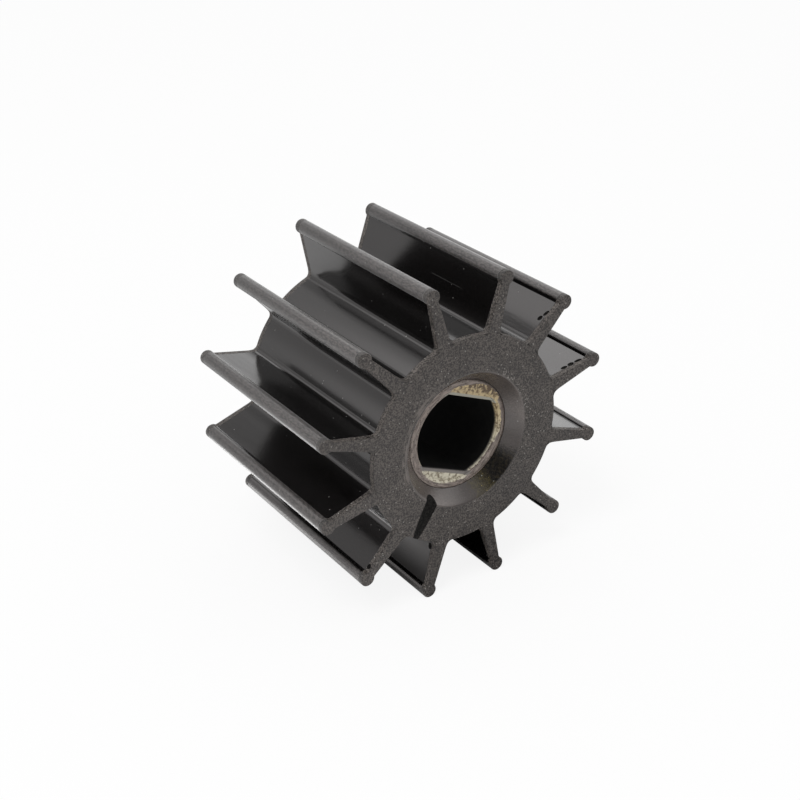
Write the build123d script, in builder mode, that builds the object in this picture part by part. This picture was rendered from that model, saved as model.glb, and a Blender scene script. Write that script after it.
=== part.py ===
"""Flexible-vane pump impeller: a rubber moulding bonded to a brass insert with a double-flat bore.

The axis runs along Y, and the end with the groove faces -Y. The wheel lies on its side, as it comes
to rest on a bench: two neighbouring vane tips carry it, one each side of straight down. The origin
is on the axis at mid width, and +Z is up. Sizes are in millimetres.
"""

import os

from build123d import *

# The rubber moulding
tip_diameter = 57.15
width = 38.1
hub_diameter = 36.2
root_fillet_radius = 1.0

# The vanes: a web that thins outwards, with a round bead along its tip
vane_count = 12
web_root_thickness = 2.5
web_tip_thickness = 1.4
bead_diameter = 2.5
bead_neck_radius = 0.4

# The dished recess round the insert, the same at both ends
recess_depth = 2.4
recess_floor_margin = 0.1
recess_wall_run = 2.075

# The round-bottomed groove in one end face, deepest at the recess and running out at the hub's edge
groove_diameter = 2.6
groove_depth = 1.0
groove_slope = 8.0
groove_direction = 240.3
groove_offset = -1.35

# The brass insert, with a shallow round mouth at each end of its double-flat bore
bore_diameter = 15.9
insert_wall = 1.575
across_flats = 12.75
flats_angle = -22.5
mouth_depth = 0.3
mouth_margin = 0.2

# The keying grooves round the insert, which the rubber fills
key_groove_count = 3
key_groove_pitch = 8.0
key_groove_width = 2.0
key_groove_depth = 0.4

# Places that follow from the sizes above
hub_radius = hub_diameter / 2
bead_centre_radius = (tip_diameter - bead_diameter) / 2
web_start_radius = hub_radius - web_root_thickness / 2
lowest_vane_angle = -90 + 180 / vane_count
insert_radius = bore_diameter / 2 + insert_wall
insert_length = width - 2 * recess_depth
recess_floor_radius = insert_radius + recess_floor_margin
recess_mouth_radius = recess_floor_radius + recess_wall_run
groove_length = 2 * (hub_radius - recess_mouth_radius + groove_diameter)

os.makedirs("parts", exist_ok=True)

# One vane, seen along the axis and pointing along +X, its neck rounded into the bead
with BuildSketch() as vane_outline:
    with BuildLine():
        Polyline(
            (web_start_radius, -web_root_thickness / 2),
            (bead_centre_radius, -web_tip_thickness / 2),
            (bead_centre_radius, web_tip_thickness / 2),
            (web_start_radius, web_root_thickness / 2),
            close=True,
        )
    make_face()
    with Locations((bead_centre_radius, 0)):
        Circle(bead_diameter / 2)
    neck_corners = vane_outline.vertices().sort_by(Axis.X)[2:4]
    fillet(neck_corners, radius=bead_neck_radius)

# The moulding seen along the axis: the hub, and the vanes with filleted roots
with BuildSketch(Plane.XZ) as moulding_outline:
    Circle(hub_radius)
    with PolarLocations(radius=0, count=vane_count, start_angle=lowest_vane_angle):
        add(vane_outline.sketch)
    root_corners = moulding_outline.vertices().group_by(SortBy.DISTANCE)[0]
    fillet(root_corners, radius=root_fillet_radius)

# The insert's section from the axis out, with its keying grooves
with BuildSketch() as insert_section:
    with Locations((insert_radius / 2, 0)):
        Rectangle(insert_radius, insert_length)
    with Locations((insert_radius, 0)):
        with GridLocations(0, key_groove_pitch, 1, key_groove_count):
            Rectangle(2 * key_groove_depth, key_groove_width, mode=Mode.SUBTRACT)

# The section of both recesses, from the axis out to their sloping walls
with BuildSketch() as recess_section:
    with BuildLine():
        Polyline(
            (0, width / 2),
            (recess_mouth_radius, width / 2),
            (recess_floor_radius, insert_length / 2),
            (0, insert_length / 2),
            close=True,
        )
    make_face()
    mirror(about=Plane.XZ)

# The shaft's outline: round, with two flats
with BuildSketch(Plane.XZ) as shaft_outline:
    Circle(bore_diameter / 2)
    Rectangle(bore_diameter, across_flats, rotation=flats_angle, mode=Mode.INTERSECT)

# Brass insert
with BuildPart() as brass_insert:
    revolve(insert_section.sketch, axis=Axis.Y)
    extrude(shaft_outline.sketch, amount=insert_length / 2, both=True, mode=Mode.SUBTRACT)
    for end in (Plane.XZ, Plane.ZX):
        with BuildSketch(end.offset(insert_length / 2)):
            Circle(bore_diameter / 2 + mouth_margin)
        extrude(amount=-mouth_depth, mode=Mode.SUBTRACT)

# Rubber moulding
with BuildPart() as rubber_impeller:
    extrude(moulding_outline.sketch, amount=width / 2, both=True)
    revolve(insert_section.sketch, axis=Axis.Y, mode=Mode.SUBTRACT)
    revolve(recess_section.sketch, axis=Axis.Y, mode=Mode.SUBTRACT)
    with Locations(Plane.XZ.offset(width / 2)):
        with PolarLocations(recess_mouth_radius, count=1, start_angle=groove_direction):
            with Locations((0, groove_offset, groove_diameter / 2 - groove_depth)):
                Cylinder(
                    groove_diameter / 2,
                    groove_length,
                    rotation=(0, 90 - groove_slope, 0),
                    mode=Mode.SUBTRACT,
                )

brass_insert.part.label = "brass_insert"
rubber_impeller.part.label = "rubber_impeller"
export_step(brass_insert.part, "parts/brass_insert.step")
export_step(rubber_impeller.part, "parts/rubber_impeller.step")
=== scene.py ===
"""The pump impeller as it lies on a bench: the moulded rubber wheel and the stained brass insert."""

import math

import bmesh
import bpy
from mathutils import Matrix, Vector


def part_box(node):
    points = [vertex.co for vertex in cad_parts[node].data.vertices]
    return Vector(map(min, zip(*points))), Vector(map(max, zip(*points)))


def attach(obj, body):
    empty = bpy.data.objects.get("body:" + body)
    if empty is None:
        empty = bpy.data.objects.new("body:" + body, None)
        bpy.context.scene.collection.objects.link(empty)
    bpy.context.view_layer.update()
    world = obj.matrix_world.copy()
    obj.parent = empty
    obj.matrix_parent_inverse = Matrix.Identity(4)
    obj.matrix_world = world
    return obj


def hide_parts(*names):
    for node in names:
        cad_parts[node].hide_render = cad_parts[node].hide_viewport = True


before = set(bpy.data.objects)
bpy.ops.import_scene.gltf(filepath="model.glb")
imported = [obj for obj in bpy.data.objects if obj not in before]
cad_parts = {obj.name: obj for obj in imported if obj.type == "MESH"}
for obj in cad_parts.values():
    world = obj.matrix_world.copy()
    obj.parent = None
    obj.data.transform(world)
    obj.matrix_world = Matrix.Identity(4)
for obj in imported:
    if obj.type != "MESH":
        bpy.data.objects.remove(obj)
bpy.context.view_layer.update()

# Metres in a millimetre, and the way the wheel's axis runs, from its front end to its back
MM = 0.001
AXIS = (0, 1, 0)

# The wheel, whose vanes stand half a pitch off straight down
VANES = 12
VANE_PITCH = 2 * math.pi / VANES
HALF_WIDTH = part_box("rubber_impeller")[1].y
LOWEST_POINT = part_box("rubber_impeller")[0].z
BEAD_RADIUS = 1.25 * MM
BEAD_CENTRE = (-LOWEST_POINT - BEAD_RADIUS) / math.cos(VANE_PITCH / 2)
HUB_RADIUS = 18.1 * MM
WEB_HALF_AT_HUB = 1.25 * MM
WEB_HALF_AT_BEAD = 0.70 * MM
WEB_TOP = BEAD_CENTRE - 1.45 * MM
BEAD_FACES_FROM = 26.8 * MM

# The recess in each end, from its mouth down to the seat of the insert
RECESS_MOUTH = 11.7 * MM
WALL_NEAR_MOUTH = 11.26 * MM
RECESS_FLOOR = 9.6 * MM
INSERT_SEAT = 9.5 * MM

# How finely the wheel is cut
HUB_STEPS_PER_VANE = 13
VANE_ROOT_STEPS = 6
HUB_RINGS = (13.8 * MM, 16.0 * MM, HUB_RADIUS)
FILLET_TURNS = (13, 26, 44, 62, 78)
WEB_SHARES = (0.05, 0.3, 0.6, 0.9, 1.0)
BEAD_TURNS = (-52, -38, -20, 0, 20, 38, 54, 68)
ARC_KEPT_BY_FIRST_ROW = 0.8
LENGTH_STEPS = 16
EDGE_ROW = 0.5 * MM

# The fillet at a vane's root, which starts where the vane's share of the hub ends
HUB_STEP = VANE_PITCH / HUB_STEPS_PER_VANE
ROOT_ANGLE = VANE_ROOT_STEPS / 2 * HUB_STEP
ROOT_FILLET = (HUB_RADIUS * math.sin(ROOT_ANGLE) - WEB_HALF_AT_HUB) / (1 - math.sin(ROOT_ANGLE))
FILLET_X = WEB_HALF_AT_HUB + ROOT_FILLET
FILLET_Z = (HUB_RADIUS + ROOT_FILLET) * math.cos(ROOT_ANGLE)

# The brass insert, with a shallow round mouth at each end of its double-flat bore
INSERT_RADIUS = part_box("brass_insert")[1].x
INSERT_HALF_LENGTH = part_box("brass_insert")[1].y
BORE_RADIUS = 7.95 * MM
MOUTH_RADIUS = 8.15 * MM
MOUTH_DEPTH = 0.3 * MM
DARK_FROM = 0.9 * MM
HALF_ACROSS_FLATS = 6.375 * MM
FLATS_TURN = math.radians(22.5)
SLEEVE_STEPS = 128

# The groove in the front face
GROOVE_RADIUS = 1.3 * MM
GROOVE_DEPTH = 1.0 * MM
GROOVE_SLOPE = math.radians(8)
GROOVE_TURN = math.radians(90 - 240.3)
GROOVE_OFFSET = 1.35 * MM
GROOVE_STEPS = 48

# Pits behind the front edge: the vane in degrees from straight up, its side, in mm the run up it, the
# distance from the end and the width, and how far its outer end tips to the front in degrees
PITS = (
    (45, -1, 23.46, 24.7, 1.3, 0.6, 20),
    (45, -1, 22.4, 23.42, 1.75, 0.8, 22),
    (75, -1, 21.3, 22.6, 1.3, 0.7, 4),
    (75, -1, 22.7, 24.0, 1.25, 0.85, -3),
    (75, -1, 24.1, 25.6, 1.15, 0.65, 5),
    (-75, 1, 19.2, 20.0, 0.5, 0.4, 0),
    (-165, 1, 18.9, 20.1, 1.35, 0.9, 0),
    (-135, 1, 25.1, 26.0, 0.75, 0.8, 0),
)
PIT_DEPTH = 0.25 * MM

# Edges are broken by these widths where the surface turns by more than SHARP
WHEEL_EDGE_BREAK = 0.12 * MM
SLEEVE_EDGE_BREAK = 0.06 * MM
SHARP = math.radians(30)
SMOOTH_BELOW = math.radians(35)

# Points this close are joined to one, and points this close to a line count as on it
MERGE_WITHIN = 0.001 * MM
SELECT_WITHIN = 0.02 * MM

# Which of its piece's materials a face shows
PLAIN_RUBBER, BEAD_RUBBER, PAINTED_SHADE_RUBBER = 0, 1, 2
BRASS, BORE = 0, 1

# Patches of the white room, seen from the wheel: degrees from straight back towards the right and above
# level, the angles where each one ends and is full, and how much brighter or darker it is
ROOM_PATCHES = (
    (-34, 46, 18, 12, 1.3),
    (30, 46, 24, 14, 1.5),
    (8, 44, 12, 5.5, -1.1),
    (37, 24, 10, 6, -0.9),
    (42, 7, 14, 6, 0.85),
    (-50, 9, 14, 5, 0.9),
    (105, 28, 32, 12, 1.6),
    (-122, -18, 40, 15, 0.9),
)


def start_circle(name, steps, radius, front):
    """A round loop of edges in the plane of an end, named and left alone in edit mode."""
    bpy.ops.object.select_all(action="DESELECT")
    bpy.ops.mesh.primitive_circle_add(
        vertices=steps,
        radius=radius,
        location=(0, front, 0),
        rotation=(math.pi / 2, 0, 0),
    )
    bpy.ops.object.transform_apply(location=True, rotation=True, scale=True)
    piece = bpy.context.active_object
    piece.name = name
    piece.data.name = name
    bpy.ops.object.mode_set(mode="EDIT")
    return piece


def pick(piece, kind, chosen):
    """Selects the vertices or edges of a piece in edit mode that chosen() accepts."""
    bpy.ops.mesh.select_mode(type=kind)
    bpy.ops.mesh.select_all(action="DESELECT")
    mesh = bmesh.from_edit_mesh(piece.data)
    for part in mesh.verts if kind == "VERT" else mesh.edges:
        if chosen(part):
            part.select_set(True)
    mesh.select_flush_mode()
    bmesh.update_edit_mesh(piece.data)


def radius_of(vertex):
    return math.hypot(vertex.co.x, vertex.co.z)


def angle_of(vertex):
    """Angle from straight up, positive towards +X."""
    return math.atan2(vertex.co.x, vertex.co.z)


def web_half(height):
    """Half the thickness of a web at a height above the axis."""
    climb = (height - HUB_RADIUS) / (BEAD_CENTRE - HUB_RADIUS)
    return WEB_HALF_AT_HUB + climb * (WEB_HALF_AT_BEAD - WEB_HALF_AT_HUB)


def grow_round_axis(grow):
    bpy.ops.transform.resize(value=(grow, 1, grow), center_override=(0, 0, 0))


def draw_ring(radius, old_radius):
    """Extrudes the selected ring in its own plane to another radius."""
    bpy.ops.mesh.extrude_edges_move()
    grow_round_axis(radius / old_radius)


def break_edges(piece, chosen, width):
    """Rounds off the edges that chosen() accepts."""
    pick(piece, "EDGE", chosen)
    bpy.ops.mesh.bevel(
        offset_type="OFFSET", offset=width, segments=2, affect="EDGES", loop_slide=False
    )


def vane_stations():
    """(height above the axis, half thickness) up one vane: root fillet, web, neck and bead."""
    stations = []
    for turn in FILLET_TURNS:
        a = math.radians(turn)
        stations.append((FILLET_Z - ROOT_FILLET * math.cos(a), FILLET_X - ROOT_FILLET * math.sin(a)))
    for share in WEB_SHARES:
        height = FILLET_Z + share * (WEB_TOP - FILLET_Z)
        stations.append((height, web_half(height)))
    for turn in BEAD_TURNS:
        a = math.radians(turn)
        stations.append((BEAD_CENTRE + BEAD_RADIUS * math.sin(a), BEAD_RADIUS * math.cos(a)))
    return stations


def draw_sector(wheel):
    """One vane and its share of the hub, drawn outwards in the plane of the front face."""
    half_share = VANE_PITCH / 2
    pick(wheel, "VERT", lambda v: not -half_share < angle_of(v) < half_share + HUB_STEP)
    bpy.ops.mesh.delete(type="VERT")
    bpy.ops.mesh.select_mode(type="EDGE")
    bpy.ops.mesh.select_all(action="SELECT")
    ring = RECESS_MOUTH
    for radius in HUB_RINGS:
        draw_ring(radius, ring)
        ring = radius
    draw_vane(wheel)


def draw_vane(wheel):
    """Runs the hub's edge under the vane up through the stations, and rounds the top of the bead."""
    reach = ROOT_ANGLE + 0.4 * HUB_STEP
    pick(
        wheel,
        "EDGE",
        lambda e: all(radius_of(v) > HUB_RADIUS * 0.999 and abs(angle_of(v)) < reach for v in e.verts),
    )
    side_z, side_x = HUB_RADIUS * math.cos(ROOT_ANGLE), HUB_RADIUS * math.sin(ROOT_ANGLE)
    arc_kept = ARC_KEPT_BY_FIRST_ROW
    for height, half in vane_stations():
        pivot = (height - arc_kept * side_z) / (1 - arc_kept)
        bpy.ops.mesh.extrude_edges_move()
        bpy.ops.transform.resize(value=(half / side_x, 1, arc_kept), center_override=(0, 0, pivot))
        side_z, side_x, arc_kept = height, half, 0
    top_row = side_z - SELECT_WITHIN
    for share in (0, 1 / 3, 2 / 3):
        across = share * side_x
        rise = BEAD_CENTRE + math.sqrt(BEAD_RADIUS**2 - across**2) - side_z
        pick(wheel, "VERT", lambda v: v.co.z > top_row and abs(abs(v.co.x) - across) < SELECT_WITHIN)
        bpy.ops.transform.translate(value=(0, 0, rise))


def turn_sector():
    """Copies the sector round the axis, so that the wheel lies on two vane tips."""
    bpy.ops.mesh.select_all(action="SELECT")
    bpy.ops.mesh.spin(
        steps=VANES - 1,
        dupli=True,
        angle=-(VANES - 1) * VANE_PITCH,
        center=(0, 0, 0),
        axis=AXIS,
    )
    bpy.ops.mesh.select_all(action="SELECT")
    bpy.ops.mesh.remove_doubles(threshold=MERGE_WITHIN)
    bpy.ops.transform.rotate(value=VANE_PITCH / 2, orient_axis="Y", center_override=(0, 0, 0))


def draw_length():
    """Runs the selected face from end to end in rows, with a narrow one inside each end."""
    row = 2 * HALF_WIDTH / LENGTH_STEPS
    front_rows = [EDGE_ROW, row - EDGE_ROW]
    for length in front_rows + [row] * (LENGTH_STEPS - 2) + front_rows[::-1]:
        bpy.ops.mesh.extrude_region_move(TRANSFORM_OT_translate={"value": (0, length, 0)})
    bpy.ops.mesh.select_all(action="SELECT")
    bpy.ops.mesh.normals_make_consistent(inside=False)


def innermost_radius(piece):
    """Radius of the selected ring that is nearest to mid width."""
    mesh = bmesh.from_edit_mesh(piece.data)
    return radius_of(min((v for v in mesh.verts if v.select), key=lambda v: abs(v.co.y)))


def shape_recesses(wheel):
    """Draws the hole's inner rows in to the recess walls, their floors and the insert's seat."""
    margin = 0.1 * MM
    row = 2 * HALF_WIDTH / LENGTH_STEPS
    for depth, radius in ((EDGE_ROW, WALL_NEAR_MOUTH), (row, RECESS_FLOOR), (2 * row, INSERT_SEAT)):
        inside = HALF_WIDTH - depth + margin
        pick(wheel, "VERT", lambda v: radius_of(v) < RECESS_MOUTH + margin and abs(v.co.y) < inside)
        grow_round_axis(radius / innermost_radius(wheel))


def turns_at_end(edge):
    """Whether an edge lies in an end face and is sharp."""
    at_end = all(abs(v.co.y) > HALF_WIDTH * 0.999 for v in edge.verts)
    return at_end and edge.calc_face_angle(0) > SHARP


def model_wheel():
    """The rubber moulding: one vane and its share of the hub, turned round the axis and drawn out."""
    wheel = start_circle("rubber_wheel", VANES * HUB_STEPS_PER_VANE, RECESS_MOUTH, -HALF_WIDTH)
    draw_sector(wheel)
    turn_sector()
    draw_length()
    shape_recesses(wheel)
    break_edges(wheel, turns_at_end, WHEEL_EDGE_BREAK)
    bpy.ops.object.mode_set(mode="OBJECT")
    cut_groove(wheel)
    cut_pits(wheel)
    bpy.ops.object.select_all(action="DESELECT")
    wheel.select_set(True)
    bpy.ops.object.shade_smooth_by_angle(angle=SMOOTH_BELOW)
    return wheel


def on_bore(vertex):
    return radius_of(vertex) < BORE_RADIUS * 1.001


def on_outside(vertex):
    return radius_of(vertex) > INSERT_RADIUS * 0.999


def model_sleeve():
    """The brass insert: one end drawn inwards to the bore, run to mid width, and mirrored."""
    front = -INSERT_HALF_LENGTH
    sleeve = start_circle("brass_sleeve", SLEEVE_STEPS, INSERT_RADIUS, front)
    bpy.ops.mesh.select_mode(type="EDGE")
    bpy.ops.mesh.select_all(action="SELECT")
    draw_ring(MOUTH_RADIUS, INSERT_RADIUS)
    bpy.ops.mesh.extrude_edges_move(TRANSFORM_OT_translate={"value": (0, MOUTH_DEPTH, 0)})
    draw_ring(BORE_RADIUS, MOUTH_RADIUS)
    pick(sleeve, "EDGE", lambda e: all(on_bore(v) for v in e.verts))
    for row in (DARK_FROM - MOUTH_DEPTH, -front - DARK_FROM):
        bpy.ops.mesh.extrude_edges_move(TRANSFORM_OT_translate={"value": (0, row, 0)})
    for side in (1, -1):
        pick(sleeve, "VERT", lambda v: on_bore(v) and side * v.co.z > HALF_ACROSS_FLATS)
        bpy.ops.transform.resize(value=(1, 1, 0), center_override=(0, 0, side * HALF_ACROSS_FLATS))
    pick(sleeve, "EDGE", lambda e: all(on_outside(v) for v in e.verts))
    bpy.ops.mesh.extrude_edges_move(TRANSFORM_OT_translate={"value": (0, -front, 0)})
    bpy.ops.object.mode_set(mode="OBJECT")
    mirror_sleeve(sleeve)
    break_edges(sleeve, lambda e: e.calc_face_angle(0) > SHARP, SLEEVE_EDGE_BREAK)
    bpy.ops.mesh.select_all(action="SELECT")
    bpy.ops.transform.rotate(value=-FLATS_TURN, orient_axis="Y", center_override=(0, 0, 0))
    bpy.ops.object.mode_set(mode="OBJECT")
    bpy.ops.object.shade_smooth_by_angle(angle=SMOOTH_BELOW)
    return sleeve


def mirror_sleeve(sleeve):
    """Adds the other half of the sleeve, and leaves it in edit mode with its faces outwards."""
    other_end = sleeve.modifiers.new("other_end", "MIRROR")
    other_end.use_axis = (False, True, False)
    other_end.merge_threshold = MERGE_WITHIN
    bpy.ops.object.modifier_apply(modifier=other_end.name)
    bpy.ops.object.mode_set(mode="EDIT")
    bpy.ops.mesh.select_all(action="SELECT")
    bpy.ops.mesh.normals_make_consistent(inside=False)


def cut_away(wheel, name):
    """Joins the selected solids and takes them out of the wheel."""
    bpy.ops.object.join()
    cutter = bpy.context.active_object
    bpy.context.view_layer.objects.active = wheel
    cut = wheel.modifiers.new(name, "BOOLEAN")
    cut.operation = "DIFFERENCE"
    cut.object = cutter
    cut.solver = "EXACT"
    bpy.ops.object.modifier_apply(modifier=cut.name)
    bpy.data.objects.remove(cutter)


def groove_line():
    """A point on the axis of the groove's cylinder, and the direction it runs in."""
    outward = Vector((math.sin(GROOVE_TURN), 0, math.cos(GROOVE_TURN)))
    across = Vector((math.cos(GROOVE_TURN), 0, -math.sin(GROOVE_TURN)))
    centre = outward * RECESS_MOUTH + across * GROOVE_OFFSET
    centre.y = -HALF_WIDTH + GROOVE_DEPTH - GROOVE_RADIUS
    run = outward * math.cos(GROOVE_SLOPE)
    run.y = -math.sin(GROOVE_SLOPE)
    return centre, run


def in_groove(face):
    centre, run = groove_line()
    off_axis = (face.center - centre).cross(run).length
    return off_axis < GROOVE_RADIUS * 1.01 and face.center.y < -HALF_WIDTH + 1.2 * GROOVE_DEPTH


def cut_groove(wheel):
    """The round-bottomed groove across the front face, deepest at the recess."""
    bpy.ops.object.select_all(action="DESELECT")
    length = 2 * (HUB_RADIUS - RECESS_MOUTH + 2 * GROOVE_RADIUS)
    bpy.ops.mesh.primitive_cylinder_add(vertices=GROOVE_STEPS, radius=GROOVE_RADIUS, depth=length)
    cutter = bpy.context.active_object
    centre, run = groove_line()
    cutter.matrix_world = Matrix.Translation(centre) @ run.to_track_quat("Z", "Y").to_matrix().to_4x4()
    cut_away(wheel, "groove")


def pit_places():
    """The place, turn and half sizes of each pit, as a matrix that stretches a ball of radius one."""
    places = []
    for vane, side, start, end, inset, width, lean in PITS:
        turn = math.radians(vane)
        outward = Vector((math.sin(turn), 0, math.cos(turn)))
        across = side * Vector((math.cos(turn), 0, -math.sin(turn)))
        height = (start + end) / 2 * MM
        centre = outward * height + across * web_half(height)
        centre.y = inset * MM - HALF_WIDTH
        turned = Matrix((across, Vector((0, side, 0)), outward)).transposed().to_4x4()
        turned = turned @ Matrix.Rotation(side * math.radians(lean), 4, "X")
        sizes = Matrix.Diagonal((PIT_DEPTH, width / 2 * MM, (end - start) / 2 * MM, 1))
        places.append(Matrix.Translation(centre) @ turned @ sizes)
    return places


def in_pit(wheel, face):
    corners = [wheel.data.vertices[number].co for number in face.vertices]
    return any(all((place.inverted() @ c).length < 1.02 for c in corners) for place in pit_places())


def cut_pits(wheel):
    """Small pits behind the front edges of the vanes, where the moulding tore."""
    balls = []
    for place in pit_places():
        bpy.ops.mesh.primitive_uv_sphere_add(segments=20, ring_count=10, radius=1)
        ball = bpy.context.active_object
        ball.matrix_world = place
        balls.append(ball)
    for ball in balls:
        ball.select_set(True)
    cut_away(wheel, "pits")


def set_camera():
    """The photograph's viewpoint, fitted to the outline of the wheel."""
    distance = 236.0 * MM
    heading = math.radians(-34.65)
    height = math.radians(27.16)
    bpy.ops.object.camera_add(
        location=(
            distance * math.sin(heading) * math.cos(height),
            -distance * math.cos(heading) * math.cos(height),
            distance * math.sin(height),
        ),
        rotation=(math.pi / 2 - height, 0, heading),
    )
    camera = bpy.context.active_object
    camera.name = "camera"
    camera.data.sensor_width = 36
    camera.data.lens = 62.33
    camera.data.shift_x = 0.00017
    camera.data.shift_y = -0.0053
    camera.data.clip_start = 0.01
    bpy.context.scene.camera = camera


def start_material(name):
    """An empty material: itself, its node tree and its shader."""
    material = bpy.data.materials.new(name)
    material.use_nodes = True
    tree = material.node_tree
    return material, tree, tree.nodes["Principled BSDF"]


def object_place(tree):
    return tree.nodes.new("ShaderNodeTexCoord").outputs["Object"]


def reckon(tree, operation, *values):
    """One sum on numbers or sockets."""
    node = tree.nodes.new("ShaderNodeMath")
    node.operation = operation
    for value, socket in zip(values, node.inputs):
        if isinstance(value, (int, float)):
            socket.default_value = value
        else:
            tree.links.new(value, socket)
    return node.outputs["Value"]


def times(tree, first, second):
    return reckon(tree, "MULTIPLY", first, second)


def plus(tree, first, second):
    return reckon(tree, "ADD", first, second)


def size_of(tree, value):
    """The value without its sign."""
    return reckon(tree, "ABSOLUTE", value)


def between(tree, value, start, end, low=0.0, high=1.0):
    """Turns the range start..end of a value into low..high."""
    ramp = tree.nodes.new("ShaderNodeMapRange")
    ramp.interpolation_type = "SMOOTHSTEP"
    ramp.inputs["From Min"].default_value = start
    ramp.inputs["From Max"].default_value = end
    ramp.inputs["To Min"].default_value = low
    ramp.inputs["To Max"].default_value = high
    tree.links.new(value, ramp.inputs["Value"])
    return ramp.outputs["Result"]


def span(tree, value, start, full, fade, end):
    """One where a value is between full and fade, and nothing before start and after end."""
    return times(tree, between(tree, value, start, full), between(tree, value, end, fade))


def blend(tree, share, first, second, kind="RGBA"):
    """Mixes two colours or two numbers by a share; either may be a value or a socket."""
    mix = tree.nodes.new("ShaderNodeMix")
    mix.data_type = kind
    ends = (mix.inputs[6], mix.inputs[7]) if kind == "RGBA" else (mix.inputs[2], mix.inputs[3])
    tree.links.new(share, mix.inputs[0])
    for value, socket in zip((first, second), ends):
        if isinstance(value, tuple):
            socket.default_value = (*value, 1)
        elif isinstance(value, (int, float)):
            socket.default_value = value
        else:
            tree.links.new(value, socket)
    return mix.outputs[2] if kind == "RGBA" else mix.outputs[0]


def blend_number(tree, share, first, second):
    return blend(tree, share, first, second, "FLOAT")


def scaled(tree, colour, share):
    """A colour made brighter or darker by a number."""
    product = tree.nodes.new("ShaderNodeVectorMath")
    product.operation = "SCALE"
    tree.links.new(colour, product.inputs[0])
    tree.links.new(share, product.inputs["Scale"])
    return product.outputs["Vector"]


def along(tree, place, axis):
    """How far each point lies along a direction."""
    reach = tree.nodes.new("ShaderNodeVectorMath")
    reach.operation = "DOT_PRODUCT"
    reach.inputs[1].default_value = axis
    tree.links.new(place, reach.inputs[0])
    return reach.outputs["Value"]


def apart_from(tree, place, point):
    """How far each point lies from a fixed one."""
    gap = tree.nodes.new("ShaderNodeVectorMath")
    gap.operation = "DISTANCE"
    gap.inputs[1].default_value = point
    tree.links.new(place, gap.inputs[0])
    return gap.outputs["Value"]


def height_from_axis(tree, place):
    """Distance from the wheel's axis at each point."""
    flat = tree.nodes.new("ShaderNodeVectorMath")
    flat.operation = "MULTIPLY"
    flat.inputs[1].default_value = (1, 0, 1)
    tree.links.new(place, flat.inputs[0])
    length = tree.nodes.new("ShaderNodeVectorMath")
    length.operation = "LENGTH"
    tree.links.new(flat.outputs["Vector"], length.inputs[0])
    return length.outputs["Value"]


def turn_of(tree, place):
    """Angle round the axis in degrees from straight up, towards the right."""
    apart = tree.nodes.new("ShaderNodeSeparateXYZ")
    tree.links.new(place, apart.inputs[0])
    turn = reckon(tree, "ARCTAN2", apart.outputs["X"], apart.outputs["Z"])
    return times(tree, turn, math.degrees(1))


def clock(turn):
    """Unit vector in the plane of the faces: degrees from straight up, towards the right."""
    turn = math.radians(turn)
    return (math.sin(turn), 0, math.cos(turn))


def stretched(tree, place, stretch):
    mapping = tree.nodes.new("ShaderNodeMapping")
    mapping.inputs["Scale"].default_value = stretch
    tree.links.new(place, mapping.inputs["Vector"])
    return mapping.outputs["Vector"]


def cloud(tree, place, grain, detail=3, roughness=0.55):
    """Noise whose patches are about one grain across."""
    noise = tree.nodes.new("ShaderNodeTexNoise")
    noise.inputs["Scale"].default_value = 1 / grain
    noise.inputs["Detail"].default_value = detail
    noise.inputs["Roughness"].default_value = roughness
    tree.links.new(place, noise.inputs["Vector"])
    return noise.outputs["Fac"]


def ragged(tree, value, place, grain, reach):
    """Moves a value up and down by noise, so that an edge drawn from it wanders."""
    shift = between(tree, cloud(tree, place, grain), 0.25, 0.75, -reach, reach)
    return plus(tree, value, shift)


def specks(tree, place, spacing, size, share):
    """Small round spots: one in a share of the cells of a spacing."""
    cells = tree.nodes.new("ShaderNodeTexVoronoi")
    cells.inputs["Scale"].default_value = 1 / spacing
    tree.links.new(place, cells.inputs["Vector"])
    spot = between(tree, cells.outputs["Distance"], size / spacing, 0.6 * size / spacing)
    chance = tree.nodes.new("ShaderNodeSeparateColor")
    tree.links.new(cells.outputs["Color"], chance.inputs["Color"])
    chosen = between(tree, chance.outputs["Red"], 0.99 - share, 1.01 - share)
    return times(tree, spot, chosen)


def round_streaks(tree, place, radius, grain):
    """Noise drawn out round the axis."""
    run_per_degree = 0.026 * MM
    drawn = tree.nodes.new("ShaderNodeCombineXYZ")
    tree.links.new(radius, drawn.inputs["X"])
    tree.links.new(times(tree, turn_of(tree, place), run_per_degree), drawn.inputs["Y"])
    return cloud(tree, drawn.outputs["Vector"], grain)


def add_bump(tree, shader, height, depth):
    bump = tree.nodes.new("ShaderNodeBump")
    bump.inputs["Strength"].default_value = 1
    bump.inputs["Distance"].default_value = depth
    tree.links.new(height, bump.inputs["Height"])
    tree.links.new(bump.outputs["Normal"], shader.inputs["Normal"])


def web_dust(tree, place, radius):
    """Single grains of dust, and a hair of it on the left side of the first vane right of straight up."""
    grains = specks(tree, place, 1.6 * MM, 0.12 * MM, 0.5)
    off_line = size_of(tree, reckon(tree, "SUBTRACT", radius, 22.65 * MM))
    off_line = ragged(tree, off_line, place, 2 * MM, 0.03 * MM)
    hair = between(tree, off_line, 0.09 * MM, 0.03 * MM, 0, 0.16)
    on_side = span(tree, turn_of(tree, place), 8, 9, 14.5, 14.9)
    on_run = span(tree, along(tree, place, AXIS), -11 * MM, -9 * MM, -3 * MM, -1 * MM)
    return plus(tree, grains, times(tree, hair, times(tree, on_side, on_run)))


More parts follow.
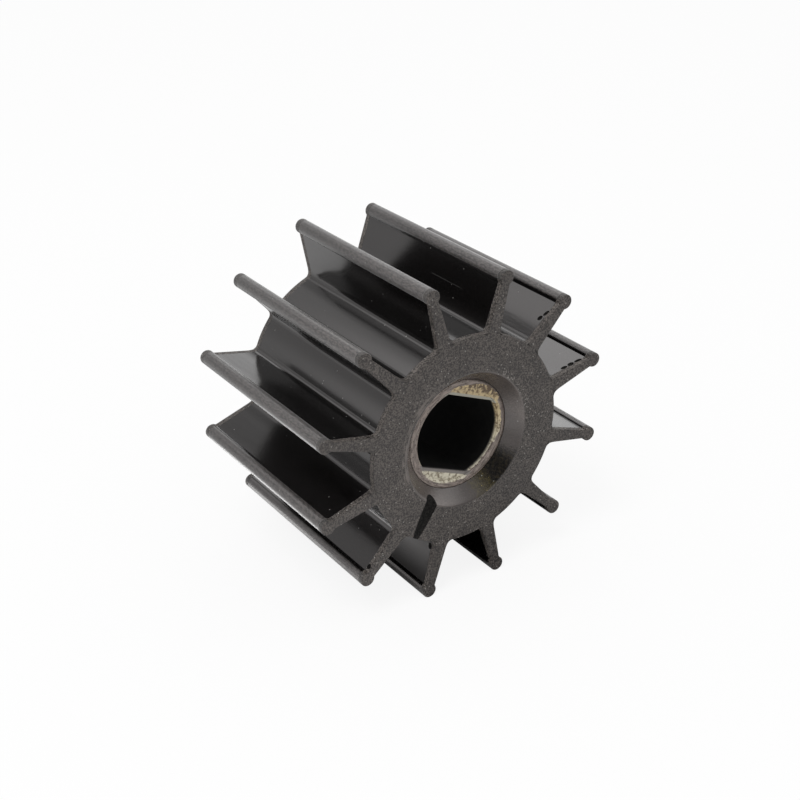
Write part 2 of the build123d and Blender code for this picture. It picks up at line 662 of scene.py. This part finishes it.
def bead_grey(tree, place):
    """Satin grey in fine streaks along the bead, with painted light that fades towards the back and
    painted shade under the lowest beads.
    """
    lengthwise = stretched(tree, place, (1, 0.33, 1))
    streaks = between(tree, cloud(tree, lengthwise, 0.2 * MM, 2), 0.33, 0.67)
    grey = blend(tree, streaks, (0.0065, 0.0057, 0.0054), (0.062, 0.0545, 0.0515))
    # Painted light: the beads are lighter at the front end and darker towards the back.
    painted_front_light = between(tree, along(tree, place, AXIS), -HALF_WIDTH, HALF_WIDTH, 1.15, 0.6)
    # Painted shade: near black under the lowest beads, where they lie close to the floor.
    painted_underside_shade = between(tree, along(tree, place, (0, 0, 1)), -26.8 * MM, -25.4 * MM, 0.1, 1)
    return scaled(tree, grey, times(tree, painted_front_light, painted_underside_shade))


def wall_colour(tree, place, grain):
    """The recess wall: warm grey, dusty on the left, with a black patch low on the right that fades
    through olive.
    """
    turn = ragged(tree, turn_of(tree, place), place, 0.6 * MM, 4)
    dusty = between(tree, along(tree, place, clock(-120)), 6 * MM, 10 * MM)
    smeared = between(tree, along(tree, place, clock(52)), 8 * MM, 10 * MM, 0, 0.8)
    colour = blend(tree, grain, (0.01, 0.008, 0.007), (0.04, 0.032, 0.028))
    pale = times(tree, plus(tree, dusty, smeared), grain)
    colour = blend(tree, pale, colour, (0.11, 0.092, 0.082))
    crumbs = between(tree, cloud(tree, place, 0.45 * MM, 3), 0.42, 0.66)
    olive = blend(tree, crumbs, (0.019, 0.015, 0.005), (0.042, 0.034, 0.011))
    olive = blend(tree, specks(tree, place, 0.5 * MM, 0.1 * MM, 0.3), olive, (0.26, 0.2, 0.07))
    colour = blend(tree, span(tree, turn, 140, 150, 162, 172), colour, olive)
    black = blend(tree, crumbs, (0.0006, 0.0005, 0.0003), (0.014, 0.011, 0.006))
    return blend(tree, span(tree, turn, 112, 122, 144, 154), colour, black)


def ground_grey(tree, place):
    """The mottled warm grey of ground rubber, with pale specks."""
    mottle = between(tree, cloud(tree, place, 0.26 * MM, 1), 0.36, 0.64)
    patches = between(tree, cloud(tree, place, 4 * MM, 1), 0.3, 0.7, 0.8, 1.15)
    grey = blend(tree, mottle, (0.0035, 0.003, 0.0026), (0.066, 0.058, 0.052))
    grey = scaled(tree, grey, patches)
    return blend(tree, specks(tree, place, 0.65 * MM, 0.13 * MM, 0.4), grey, (0.22, 0.21, 0.195))


def end_grey(tree, place, radius, end, bead):
    """The end faces: ground grey, with a streaked painted highlight round the left of the rim, and
    scuffed at its upper right.
    """
    # Painted highlight: a pale streaked band round the left of the mouth's rim, where its edge catches
    # light.
    painted_rim_highlight = times(
        tree,
        between(tree, radius, 12.9 * MM, 12.5 * MM),
        between(tree, along(tree, place, clock(-75)), 7 * MM, 11 * MM),
    )
    rim_lines = between(tree, round_streaks(tree, place, radius, 0.35 * MM), 0.4, 0.6)
    colour = blend(tree, times(tree, painted_rim_highlight, rim_lines), ground_grey(tree, place), (0.12, 0.105, 0.095))
    scuffed = times(
        tree,
        between(tree, radius, 13.2 * MM, 12.4 * MM),
        between(tree, along(tree, place, clock(62)), 9 * MM, 11 * MM),
    )
    scuffs = times(tree, scuffed, specks(tree, place, 0.32 * MM, 0.15 * MM, 0.4))
    colour = blend(tree, scuffs, colour, (0.22, 0.205, 0.19))
    behind_face = between(tree, end, 18.95 * MM, 18.8 * MM)
    edge = times(tree, behind_face, blend_number(tree, bead, 0.8, -0.3))
    return scaled(tree, colour, plus(tree, edge, 1))


def rubber(name, sheen):
    """Glossy black between the vanes, satin grey on the beads, and ground matte at the ends."""
    material, tree, shader = start_material(name)
    shader.inputs["Sheen Weight"].default_value = sheen
    shader.inputs["Specular Tint"].default_value = (1, 0.95, 0.94, 1)
    place = object_place(tree)
    radius = height_from_axis(tree, place)
    end = size_of(tree, along(tree, place, AXIS))
    grain = cloud(tree, place, 0.25 * MM, 2)
    bead = between(tree, radius, 26.7 * MM, 27.1 * MM)
    wall = between(tree, radius, 12.0 * MM, 11.75 * MM)
    near_end = between(tree, ragged(tree, end, place, 0.5 * MM, 0.06 * MM), 17.95 * MM, 18.05 * MM)
    ground = times(tree, near_end, reckon(tree, "SUBTRACT", 1, wall))

    web_grain = between(tree, grain, 0.35, 0.65)
    colour = blend(tree, web_grain, (0.0002, 0.0002, 0.0002), (0.0035, 0.003, 0.003))
    colour = blend(tree, bead, colour, bead_grey(tree, place))
    colour = blend(tree, wall, colour, wall_colour(tree, place, grain))
    colour = blend(tree, web_dust(tree, place, radius), colour, (0.2, 0.2, 0.19))
    colour = blend(tree, ground, colour, end_grey(tree, place, radius, end, bead))
    tree.links.new(colour, shader.inputs["Base Color"])

    roughness = blend_number(tree, bead, 0.17, 0.33)
    roughness = blend_number(tree, wall, roughness, 0.24)
    roughness = blend_number(tree, ground, roughness, 0.65)
    tree.links.new(roughness, shader.inputs["Roughness"])

    flow = times(tree, cloud(tree, stretched(tree, place, (1, 0.12, 1)), 0.9 * MM, 3), 0.1)
    grit = cloud(tree, place, 0.25 * MM)
    depth = blend_number(tree, wall, flow, times(tree, grit, 0.3))
    depth = blend_number(tree, ground, depth, grit)
    add_bump(tree, shader, depth, 0.08 * MM)
    return material


def painted_shade_rubber():
    """Inside the groove and the pits: rough rubber painted near black as painted shade for the shade that
    falls in them.
    """
    material, tree, shader = start_material("painted_shade_rubber")
    shader.inputs["Roughness"].default_value = 0.6
    shader.inputs["Specular IOR Level"].default_value = 0.08
    # Painted shade: near-black colour standing in for the shade inside the groove and the pits.
    grain = between(tree, cloud(tree, object_place(tree), 0.3 * MM), 0.35, 0.65)
    colour = blend(tree, grain, (0.0015, 0.0015, 0.0015), (0.014, 0.013, 0.012))
    tree.links.new(colour, shader.inputs["Base Color"])
    add_bump(tree, shader, grain, 0.03 * MM)
    return material


def rubber_film(tree, place, radius):
    """The thin mauve-grey film that the moulding left on the brass, with brown specks."""
    lines = between(tree, round_streaks(tree, place, radius, 0.3 * MM), 0.35, 0.65)
    film = blend(tree, lines, (0.09, 0.07, 0.059), (0.25, 0.205, 0.18))
    return blend(tree, specks(tree, place, 0.34 * MM, 0.16 * MM, 0.35), film, (0.06, 0.042, 0.03))


def bare_brass(tree, grain, upper):
    """Mottled brass, cream below the bore and gold above it."""
    cream = blend(tree, grain, (0.16, 0.13, 0.085), (0.56, 0.52, 0.41))
    gold = blend(tree, grain, (0.12, 0.072, 0.028), (0.46, 0.36, 0.2))
    return blend(tree, between(tree, upper, -2 * MM, 6 * MM), cream, gold)


def stained_brass():
    """Brass under a film of rubber, bare and mottled beside the flats and down the right side."""
    material, tree, shader = start_material("stained_brass")
    place = object_place(tree)
    radius = height_from_axis(tree, place)
    edge = ragged(tree, radius, place, 0.7 * MM, 0.15 * MM)
    upper = along(tree, place, clock(math.degrees(FLATS_TURN)))
    grain = between(tree, cloud(tree, place, 0.6 * MM, 4, 0.65), 0.36, 0.54)
    on_right = between(tree, along(tree, place, clock(72)), 5 * MM, 8 * MM, 8.05 * MM, 8.7 * MM)
    by_flats = between(tree, size_of(tree, upper), 6.4 * MM, 7.4 * MM, 0, 0.6 * MM)
    bare = reckon(tree, "LESS_THAN", edge, plus(tree, on_right, by_flats))
    colour = blend(tree, bare, rubber_film(tree, place, radius), bare_brass(tree, grain, upper))

    on_flat = between(tree, edge, 8.5 * MM, 8.2 * MM)
    pale_edge = span(tree, upper, 6.0 * MM, 6.2 * MM, 6.75 * MM, 6.95 * MM)
    colour = blend(tree, times(tree, pale_edge, on_flat), colour, (0.3, 0.29, 0.24))
    grey_edge = span(tree, upper, -7.0 * MM, -6.8 * MM, -6.2 * MM, -6.0 * MM)
    colour = blend(tree, times(tree, grey_edge, on_flat), colour, (0.155, 0.14, 0.13))

    # Painted shadow: brown under the mouth's step above the upper flat, broken up by noise.
    shadow_breakup = between(tree, cloud(tree, place, 0.8 * MM, 3), 0.42, 0.52)
    brown = times(tree, between(tree, upper, 7.2 * MM, 7.7 * MM), times(tree, shadow_breakup, bare))
    colour = blend(tree, brown, colour, (0.075, 0.045, 0.02))
    rim_stain = times(
        tree,
        between(tree, edge, 9.2 * MM, 9.4 * MM),
        between(tree, along(tree, place, clock(80)), 2 * MM, 6 * MM),
    )
    colour = blend(tree, rim_stain, colour, (0.05, 0.035, 0.028))

    end = size_of(tree, along(tree, place, AXIS))
    down_bore = times(
        tree,
        between(tree, end, 16.45 * MM, 15.75 * MM),
        between(tree, radius, 8.3 * MM, 8.1 * MM),
    )
    colour = blend(tree, down_bore, colour, (0.002, 0.002, 0.002))
    tree.links.new(colour, shader.inputs["Base Color"])
    tree.links.new(blend_number(tree, down_bore, 0.5, 0.8), shader.inputs["Roughness"])
    add_bump(tree, shader, grain, 0.03 * MM)
    return material


def dark_bore():
    """The bore beyond its mouth, near black."""
    material, tree, shader = start_material("dark_bore")
    shader.inputs["Roughness"].default_value = 0.8
    shader.inputs["Specular IOR Level"].default_value = 0.15
    grease = between(tree, cloud(tree, object_place(tree), 1.5 * MM), 0.35, 0.65)
    colour = blend(tree, grease, (0.0006, 0.0006, 0.0006), (0.003, 0.0028, 0.0026))
    tree.links.new(colour, shader.inputs["Base Color"])
    return material


def on_bead(face):
    """Whether a face lies on a bead's long side, and not in an end face."""
    return math.hypot(face.center.x, face.center.z) > BEAD_FACES_FROM and abs(face.normal.y) < 0.5


def in_bore(face):
    """Whether a face lies in the bore, beyond its lit mouth."""
    beyond_mouth = abs(face.center.y) < INSERT_HALF_LENGTH - DARK_FROM
    return beyond_mouth and math.hypot(face.center.x, face.center.z) < MOUTH_RADIUS


def finish_wheel(wheel):
    """Gives the wheel its rubbers, and each face the one that it shows."""
    for material in (rubber("rubber", 0), rubber("bead_rubber", 0.25), painted_shade_rubber()):
        wheel.data.materials.append(material)
    for face in wheel.data.polygons:
        if on_bead(face):
            face.material_index = BEAD_RUBBER
        elif in_groove(face) or in_pit(wheel, face):
            face.material_index = PAINTED_SHADE_RUBBER
        else:
            face.material_index = PLAIN_RUBBER


def finish_sleeve(sleeve):
    """Gives the sleeve its stained brass, and the inside of the bore its near-black material."""
    for material in (stained_brass(), dark_bore()):
        sleeve.data.materials.append(material)
    for face in sleeve.data.polygons:
        face.material_index = BORE if in_bore(face) else BRASS


def floor_pool(tree, place, centre, edge, core, low, high):
    """A number that goes from low at the edge radius round a point to high at the core radius."""
    x, y = centre
    gap = apart_from(tree, place, (x * MM, y * MM, 0))
    return between(tree, gap, edge * MM, core * MM, low, high)


def floor_in_gloss(tree):
    """How bright the floor is where the rubber mirrors it: lit in pools and dark under the wheel."""
    place = object_place(tree)
    drawn = stretched(tree, place, (1, 0.35, 1))
    squashed = stretched(tree, place, (1, 0.55, 1))
    front = floor_pool(tree, place, (-30, -70), 75, 30, 0, 1.2)
    left = floor_pool(tree, drawn, (-32, 7.5), 13, 5, 0, 3.0)
    beside = floor_pool(tree, place, (-15, 2), 12, 4, 0, 0.6)
    behind = floor_pool(tree, place, (-8, 60), 42, 22, 0, -0.6)
    pools = plus(tree, plus(tree, front, left), plus(tree, beside, behind))
    under = floor_pool(tree, squashed, (8, -1), 8, 28, 0.05, 1)
    beneath = floor_pool(tree, squashed, (1, -1), 8, 12, 0.05, 1)
    return times(tree, times(tree, plus(tree, pools, 1.1), under), beneath)


def lay_floor():
    """A pale floor under the lowest point, almost white to the camera but for the wheel's shadow."""
    bpy.ops.object.select_all(action="DESELECT")
    bpy.ops.mesh.primitive_plane_add(size=4, location=(0, 0, LOWEST_POINT))
    floor = bpy.context.active_object
    floor.name = "floor"
    material, tree, shader = start_material("pale_floor")
    tree.nodes.remove(shader)
    card = tree.nodes.new("ShaderNodeBsdfDiffuse")
    glow = tree.nodes.new("ShaderNodeEmission")
    path = tree.nodes.new("ShaderNodeLightPath")
    shown = blend(tree, path.outputs["Is Glossy Ray"], (0.9, 0.9, 0.9), floor_in_gloss(tree))
    tree.links.new(shown, card.inputs["Color"])
    mix = tree.nodes.new("ShaderNodeMixShader")
    tree.links.new(times(tree, path.outputs["Is Camera Ray"], 0.88), mix.inputs["Fac"])
    tree.links.new(card.outputs["BSDF"], mix.inputs[1])
    tree.links.new(glow.outputs["Emission"], mix.inputs[2])
    tree.links.new(mix.outputs["Shader"], tree.nodes["Material Output"].inputs["Surface"])
    floor.data.materials.append(material)


def soft_patch(tree, view, turn, height, edge, core):
    """A round patch of the room: one inside the core angle, fading to nothing at the edge angle."""
    turn, height = math.radians(turn), math.radians(height)
    level = math.cos(height)
    aim = (math.sin(turn) * level, math.cos(turn) * level, math.sin(height))
    nearness = along(tree, view, aim)
    return between(tree, nearness, math.cos(math.radians(edge)), math.cos(math.radians(core)))


def light_studio():
    """A white room with light boxes above and to the right, and a dark place behind the camera."""
    world = bpy.data.worlds.new("white_room")
    bpy.context.scene.world = world
    world.use_nodes = True
    tree = world.node_tree
    path = tree.nodes.new("ShaderNodeLightPath")
    view = tree.nodes.new("ShaderNodeTexCoord").outputs["Generated"]
    room = between(tree, along(tree, view, (0, 0, 1)), 0.45, 0.75, 1.0, 1.5)
    for turn, height, edge, core, more in ROOM_PATCHES:
        room = plus(tree, room, times(tree, soft_patch(tree, view, turn, height, edge, core), more))
    camera_side = soft_patch(tree, view, -145, 40, 33, 20)
    room = blend_number(tree, camera_side, room, 0.08)
    strength = blend_number(tree, path.outputs["Is Glossy Ray"], 1.0, room)
    strength = blend_number(tree, path.outputs["Is Diffuse Ray"], strength, 0.75)
    ground = tree.nodes["Background"]
    ground.inputs["Color"].default_value = (1, 1, 1, 1)
    tree.links.new(strength, ground.inputs["Strength"])


def add_soft_box():
    """The lamp above the wheel, to the left of it and a little in front."""
    place = (-0.37, -0.17, 0.71)
    bpy.ops.object.light_add(type="AREA", location=place)
    lamp = bpy.context.active_object
    lamp.name = "soft_box"
    lamp.data.shape = "SQUARE"
    lamp.data.size = 0.3
    lamp.data.energy = 2.4
    lamp.rotation_euler = Vector(place).to_track_quat("Z", "Y").to_euler()


set_camera()

wheel = model_wheel()
finish_wheel(wheel)
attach(wheel, "root")
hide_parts("rubber_impeller")

sleeve = model_sleeve()
finish_sleeve(sleeve)
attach(sleeve, "root")
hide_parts("brass_insert")

lay_floor()
light_studio()
add_soft_box()

bpy.context.scene.view_settings.view_transform = "Standard"
